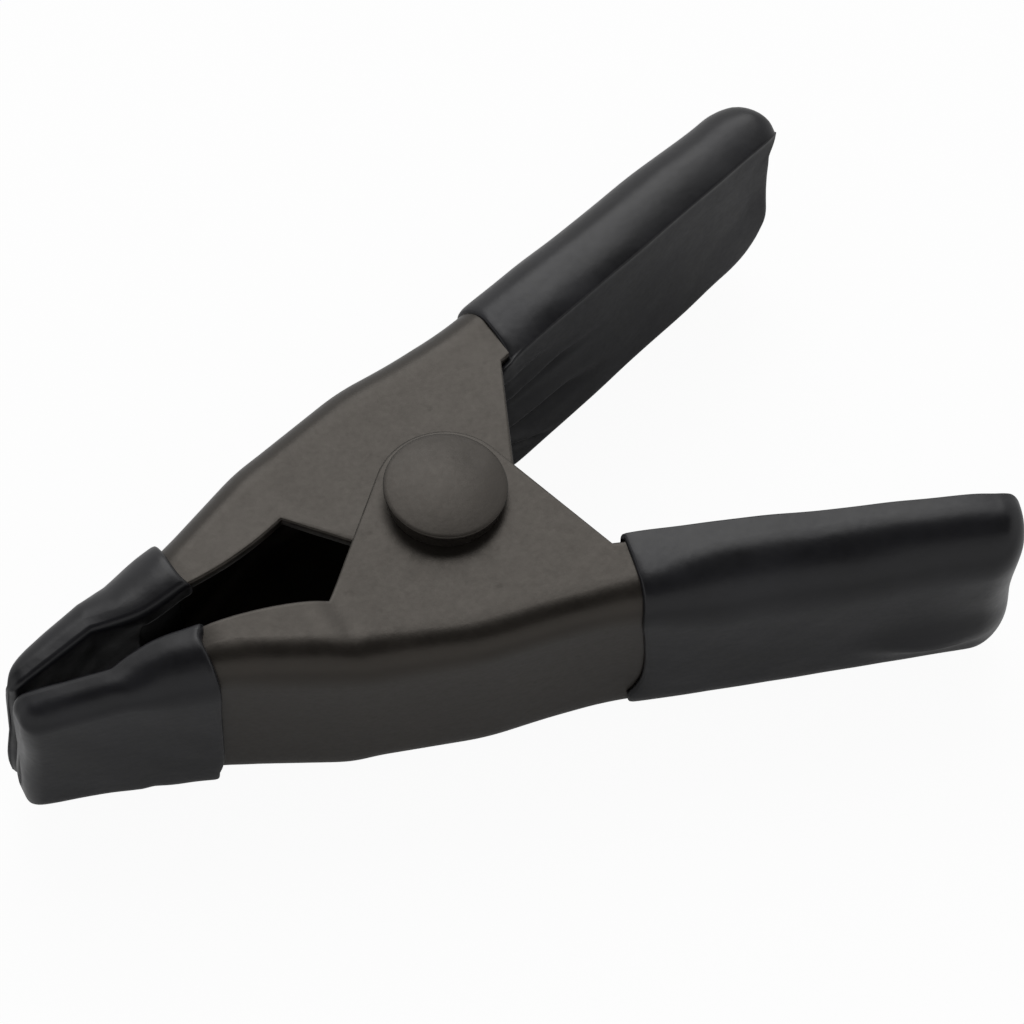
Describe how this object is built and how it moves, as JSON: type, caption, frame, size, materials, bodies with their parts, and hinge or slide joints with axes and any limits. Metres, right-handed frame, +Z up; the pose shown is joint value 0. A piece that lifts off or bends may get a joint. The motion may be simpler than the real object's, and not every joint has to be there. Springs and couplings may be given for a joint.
{
  "type": "spring clip",
  "caption": "Hand-squeezed spring clip for tarps: two pressed steel jaws on a capped pivot pin, shut by a torsion spring, with soft sleeves on noses and handles.",
  "frame": {"origin": "middle of the clip's length and width, on the ground plane under its lower pin cap, with the clip lying on its side", "axes": "+X along the clip from the noses to the handles, +Y towards the inner jaw, +Z up along the pivot pin"},
  "size_m": [0.1026, 0.0624, 0.0296],
  "materials": {
    "black_paint": "satin black baked paint on pressed steel sheet",
    "cap_paint": "satin black paint on a drawn steel cap",
    "black_vinyl": "smooth dipped soft vinyl, half gloss",
    "pin_steel": "plain cold drawn steel",
    "nut_steel": "oiled spring steel",
    "spring_wire": "dark oiled spring wire"
  },
  "bodies": {
    "outer_half": {"outer_jaw": "black_paint", "pivot_pin": "pin_steel", "top_cap": "cap_paint", "bottom_cap": "cap_paint", "top_push_nut": "nut_steel", "bottom_push_nut": "nut_steel", "torsion_spring": "spring_wire", "outer_tip_sleeve": "black_vinyl", "outer_handle_grip": "black_vinyl"},
    "inner_half": {"inner_jaw": "black_paint", "inner_tip_sleeve": "black_vinyl", "inner_handle_grip": "black_vinyl"}
  },
  "joints": [
    {"name": "jaw_pivot", "type": "hinge", "parent": "outer_half", "child": "inner_half", "pos_m": [-0.00142, 0, 0.0148], "axis": [0, 0, -1], "range_deg": [0, 36], "stiffness_Nm_per_rad": 1, "springref_deg": -68.75, "deforming": ["torsion_spring"]}
  ]
}
